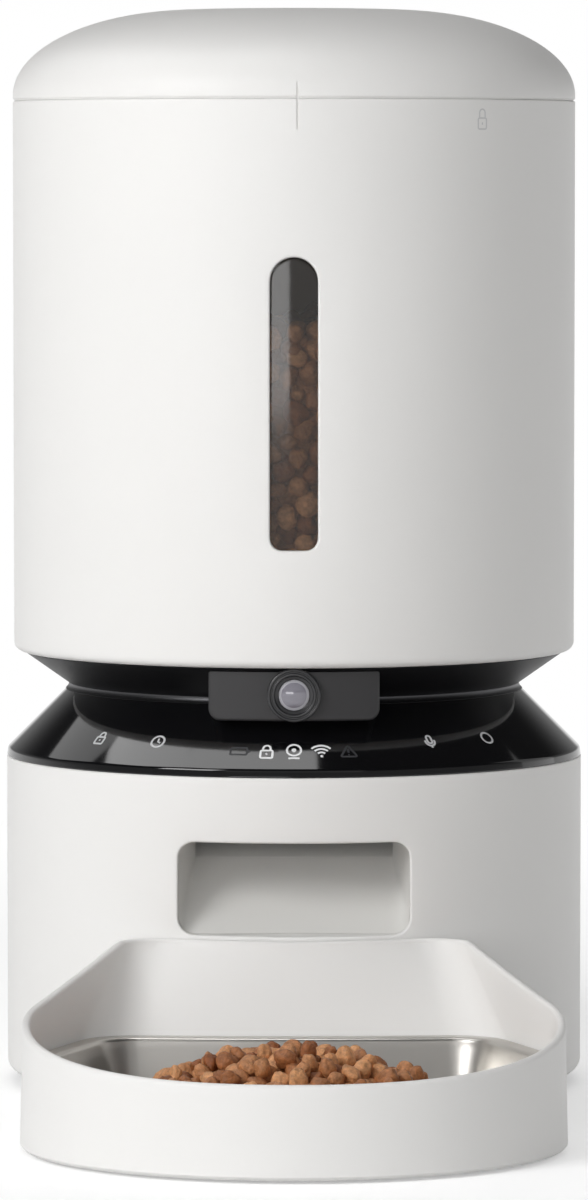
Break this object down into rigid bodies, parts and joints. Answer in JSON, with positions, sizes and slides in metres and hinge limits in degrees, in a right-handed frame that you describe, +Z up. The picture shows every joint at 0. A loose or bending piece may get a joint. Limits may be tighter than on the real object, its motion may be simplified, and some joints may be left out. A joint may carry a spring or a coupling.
{
  "type": "pet feeder",
  "caption": "Round automatic pet feeder: twist-lid hopper with level window, camera at the waist, dosing rotor and gear drive, food outlet, and a pull-off tray with a lift-out steel bowl.",
  "frame": {"origin": "on the feeder's upright axis, at the floor plane under the rubber feet", "axes": "+Z up along the feeder's axis; -Y the front, where the camera, outlet and tray are; +X to the right seen from the front"},
  "size_m": [0.195, 0.3441, 0.3626],
  "materials": {
    "white_shell": "fine satin grain",
    "grey_plastic": "satin",
    "inner_white": "satin",
    "gloss_black": "polished",
    "satin_black": "satin",
    "camera_grey": "satin",
    "bezel_black": "satin gloss",
    "lens_glass": "polished",
    "smoked_window": "polished",
    "foot_rubber": "matt",
    "seal_rubber": "matt",
    "wiper_rubber": "matt",
    "bowl_steel": "brushed",
    "bright_steel": "zinc plated",
    "brass": "turned",
    "bronze": "sintered",
    "gear_nylon": "moulded",
    "rotor_plastic": "moulded",
    "board_green": "solder mask",
    "dark_parts": "moulded",
    "lamp_white": "clear moulded",
    "cell_wrap": "printed wrap",
    "desiccant": "paper sachet"
  },
  "bodies": {
    "base": {"base_shell": "white_shell", "bottom_cover": "grey_plastic", "bottom_screws": "bright_steel", "rubber_feet": "foot_rubber", "chute": "white_shell", "outlet_sensors": "dark_parts", "control_ring": "gloss_black", "touch_board": "board_green", "touch_springs": "brass", "status_lamps": "lamp_white", "light_guide": "lamp_white", "waist_cone": "satin_black", "camera_housing": "camera_grey", "lens_bezel": "bezel_black", "front_lens": "lens_glass", "lens_barrel": "bezel_black", "camera_board": "board_green", "night_lamps": "dark_parts", "dosing_chamber": "grey_plastic", "chamber_screws": "bright_steel", "dosing_baffle": "grey_plastic", "shaft_bush": "bronze", "drive_bracket": "grey_plastic", "bracket_screws": "bright_steel", "idler_axle": "bright_steel", "idler_clip": "bright_steel", "motor": "bright_steel", "battery_bay": "grey_plastic", "battery_contacts": "bright_steel", "battery_cells": "cell_wrap", "main_board": "board_green", "radio_module": "bright_steel", "board_parts": "dark_parts", "speaker": "dark_parts", "power_socket": "dark_parts", "tray_socket": "grey_plastic", "hopper_shell": "white_shell", "level_window": "smoked_window", "hopper_funnel": "inner_white", "hopper_screws": "bright_steel"},
    "lid_seal": {"lid_seal": "seal_rubber"},
    "lid": {"lid_cap": "white_shell", "lid_plug": "inner_white", "desiccant_case": "inner_white", "desiccant_pack": "desiccant"},
    "desiccant_cover": {"desiccant_cover": "inner_white"},
    "rotor": {"dosing_rotor": "rotor_plastic", "rotor_wipers": "wiper_rubber", "rotor_shaft": "bright_steel", "output_gear": "gear_nylon"},
    "idler": {"idler_gear": "gear_nylon"},
    "motor_rotor": {"motor_shaft": "bright_steel", "motor_pinion": "brass"},
    "tray": {"tray_shell": "white_shell", "tray_pads": "foot_rubber"},
    "bowl": {"steel_bowl": "bowl_steel"},
    "battery_door": {"battery_door": "grey_plastic"}
  },
  "joints": [
    {"name": "lid_lift", "type": "slide", "parent": "base", "child": "lid_seal", "axis": [0, 0, 1], "range_m": [0, 0.09]},
    {"name": "lid_twist", "type": "hinge", "parent": "lid_seal", "child": "lid", "pos_m": [0, 0, 0.332], "axis": [0, 0, 1], "range_deg": [0, 42]},
    {"name": "desiccant_turn", "type": "hinge", "parent": "lid", "child": "desiccant_cover", "pos_m": [0, 0, 0.3462], "axis": [0, 0, 1], "range_deg": [0, 30]},
    {"name": "rotor_spin", "type": "hinge", "parent": "base", "child": "rotor", "pos_m": [0, 0, 0.1], "axis": [0, 0, 1], "continuous": true},
    {"name": "idler_spin", "type": "hinge", "parent": "base", "child": "idler", "pos_m": [-0.02475, 0.02475, 0.088], "axis": [0, 0, 1], "continuous": true},
    {"name": "motor_spin", "type": "hinge", "parent": "base", "child": "motor_rotor", "pos_m": [0.0015, 0.02475, 0.08], "axis": [0, 0, 1], "continuous": true},
    {"name": "tray_slide", "type": "slide", "parent": "base", "child": "tray", "axis": [0, -1, 0], "range_m": [0, 0.06]},
    {"name": "bowl_lift", "type": "slide", "parent": "tray", "child": "bowl", "axis": [0, 0, 1], "range_m": [0, 0.06]},
    {"name": "battery_door_drop", "type": "slide", "parent": "base", "child": "battery_door", "axis": [0, 0, -1], "range_m": [0, 0.04]}
  ],
  "couplings": [
    {"joint": "idler_spin", "follows": "rotor_spin", "ratio": -3.6667},
    {"joint": "motor_spin", "follows": "rotor_spin", "ratio": 11.733}
  ]
}
